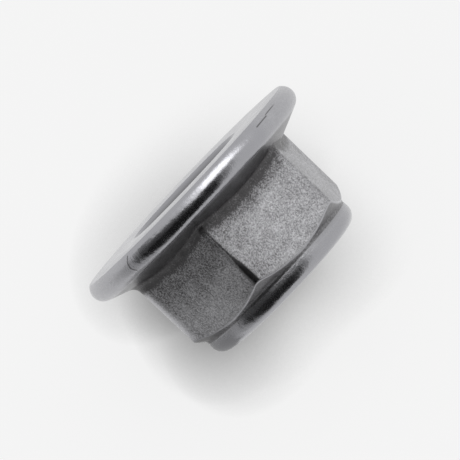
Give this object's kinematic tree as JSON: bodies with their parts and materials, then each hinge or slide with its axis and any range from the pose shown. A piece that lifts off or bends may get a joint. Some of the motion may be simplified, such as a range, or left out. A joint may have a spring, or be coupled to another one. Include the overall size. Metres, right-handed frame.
{
  "type": "hexagon flange lock nut",
  "caption": "Hexagon nut with a broad round flange at its bearing end and a round collar, rolled in over a nylon locking ring, at the other.",
  "frame": {"origin": "centre of the bearing face, on the thread axis", "axes": "+Z along the thread axis, from the bearing face to the collar; two flats of the hexagon face +X and -X"},
  "size_m": [0.0216, 0.0216, 0.011],
  "materials": {
    "plated_steel": "zinc plated forged steel, satin with a fine grain on the flats",
    "nylon": "natural nylon, off-white and slightly waxy"
  },
  "bodies": {
    "root": {"nut_body": "plated_steel", "nylon_ring": "nylon"}
  },
  "joints": []
}
